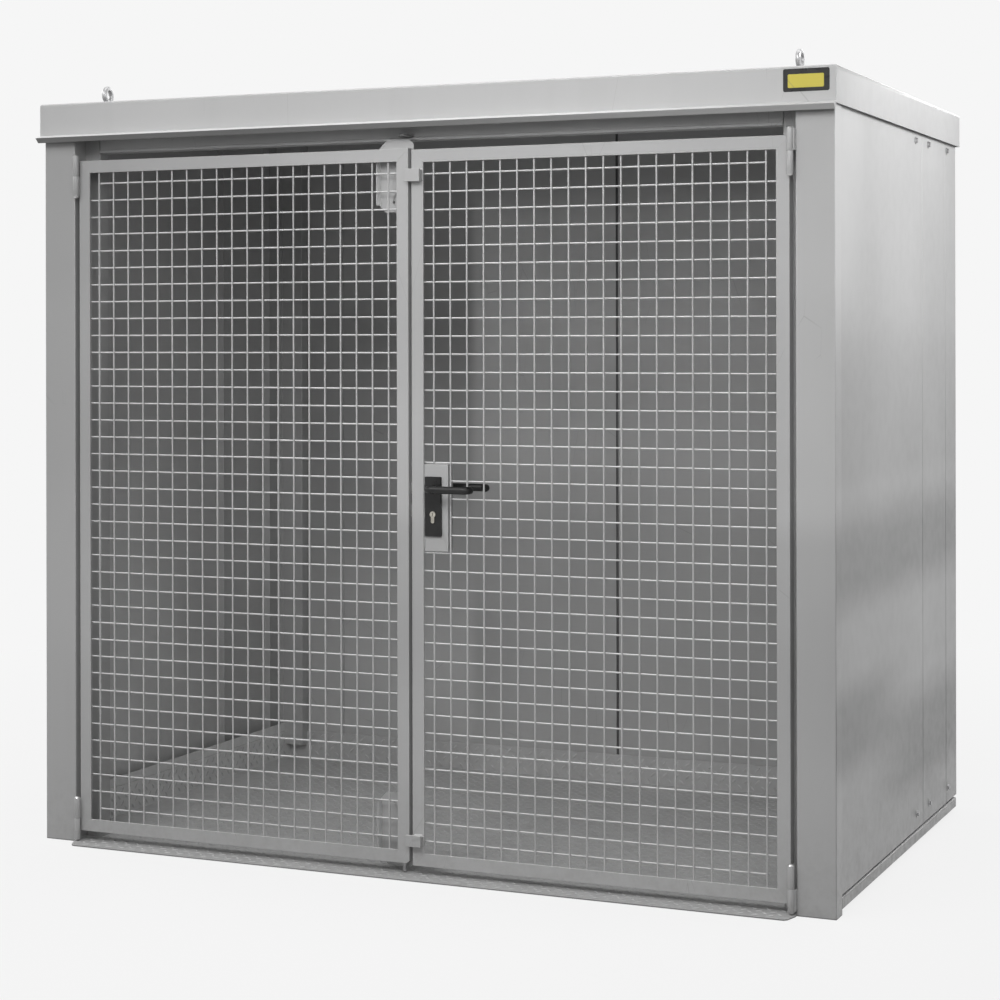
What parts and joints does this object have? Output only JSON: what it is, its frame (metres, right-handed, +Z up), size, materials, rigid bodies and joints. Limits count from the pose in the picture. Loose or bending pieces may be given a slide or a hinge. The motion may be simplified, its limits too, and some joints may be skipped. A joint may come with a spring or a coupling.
{
  "type": "gas cylinder cage",
  "caption": "Walk-in steel gas cylinder container with solid side and back walls, overhanging roof tray with lifting eyes, plate floor and two lockable mesh door leaves",
  "frame": {"origin": "centre of the bounding box on the ground", "axes": "+Z up, +X to the right seen from the front, the doors face -Y"},
  "size_m": [2.424, 1.5636, 2.255],
  "materials": {
    "cage_paint": "smooth light grey coating on folded and welded steel",
    "inside_paint": "light grey coating, in shade inside the cage",
    "tear_plate": "grey coated steel with raised tread marks",
    "mesh_zinc": "light grey coated wires with a zinc sheen",
    "zinc": "dull zinc-plated steel",
    "bright_steel": "bright bare steel",
    "black_grip": "fine-grained black plastic over a steel core",
    "lock_brass": "nickel-tinted brass, satin"
  },
  "bodies": {
    "cage": {"floor_plate": "tear_plate", "base_rail_left": "cage_paint", "base_rail_right": "cage_paint", "base_rail_rear": "cage_paint", "front_post_left": "cage_paint", "front_post_right": "cage_paint", "jamb_left": "cage_paint", "jamb_right": "cage_paint", "header_rail": "cage_paint", "bolt_keep": "cage_paint", "rear_post_left": "cage_paint", "rear_post_right": "cage_paint", "wall_left_front": "cage_paint", "wall_left_rear": "cage_paint", "wall_right_front": "cage_paint", "wall_right_rear": "cage_paint", "back_panel_left": "inside_paint", "back_panel_middle": "inside_paint", "back_panel_right": "inside_paint", "wall_bolts": "zinc", "roof_tray": "cage_paint", "lifting_eyes": "zinc", "post_knuckles": "cage_paint", "hinge_pins": "bright_steel"},
    "right_leaf": {"right_free_stile": "cage_paint", "right_hinge_stile": "cage_paint", "right_top_rail": "cage_paint", "right_bottom_rail": "cage_paint", "right_mesh": "mesh_zinc", "right_knuckles": "cage_paint", "right_knuckle_caps": "bright_steel", "stop_tabs": "cage_paint", "lock_box": "cage_paint", "lock_case": "zinc", "outer_plate": "black_grip", "inner_plate": "black_grip", "cylinder_body": "lock_brass"},
    "left_leaf": {"left_free_stile": "cage_paint", "left_hinge_stile": "cage_paint", "left_top_rail": "cage_paint", "left_bottom_rail": "cage_paint", "left_mesh": "mesh_zinc", "left_knuckles": "cage_paint", "left_knuckle_caps": "bright_steel", "bolt_guards": "cage_paint", "bolt_guides": "cage_paint"},
    "lever_set": {"follower": "bright_steel", "spindle": "bright_steel", "outer_lever": "black_grip", "inner_lever": "black_grip"},
    "latch": {"latch_bolt": "bright_steel"},
    "dead_bolt": {"dead_bolt": "bright_steel"},
    "plug": {"cylinder_plug": "lock_brass"},
    "top_rod": {"top_bolt": "zinc"},
    "bottom_rod": {"bottom_bolt": "zinc"}
  },
  "joints": [
    {"name": "right_door", "type": "hinge", "parent": "cage", "child": "right_leaf", "pos_m": [1.088, -0.73425, 1.023], "axis": [0, 0, 1], "range_deg": [0, 180]},
    {"name": "left_door", "type": "hinge", "parent": "cage", "child": "left_leaf", "pos_m": [-1.088, -0.73425, 1.023], "axis": [0, 0, -1], "range_deg": [0, 180]},
    {"name": "lever_turn", "type": "hinge", "parent": "right_leaf", "child": "lever_set", "pos_m": [0.0695, -0.70075, 1.077], "axis": [0, 1, 0], "range_deg": [0, 40], "stiffness_Nm_per_rad": 1.5, "springref_deg": -17.19},
    {"name": "latch_slide", "type": "slide", "parent": "right_leaf", "child": "latch", "axis": [1, 0, 0], "range_m": [0, 0.01]},
    {"name": "dead_bolt_throw", "type": "slide", "parent": "right_leaf", "child": "dead_bolt", "axis": [-1, 0, 0], "range_m": [0, 0.02]},
    {"name": "key_turn", "type": "hinge", "parent": "right_leaf", "child": "plug", "pos_m": [0.0695, -0.70075, 1.006], "axis": [0, 1, 0], "range_deg": [0, 360]},
    {"name": "top_bolt_slide", "type": "slide", "parent": "left_leaf", "child": "top_rod", "axis": [0, 0, 1], "range_m": [0, 0.05]},
    {"name": "bottom_bolt_slide", "type": "slide", "parent": "left_leaf", "child": "bottom_rod", "axis": [0, 0, 1], "range_m": [-0.007, 0.015]}
  ],
  "couplings": [
    {"joint": "left_door", "follows": "right_door", "ratio": 1},
    {"joint": "latch_slide", "follows": "lever_turn", "m_per_rad": 0.01432},
    {"joint": "key_turn", "follows": "dead_bolt_throw", "rad_per_m": 314.15}
  ]
}
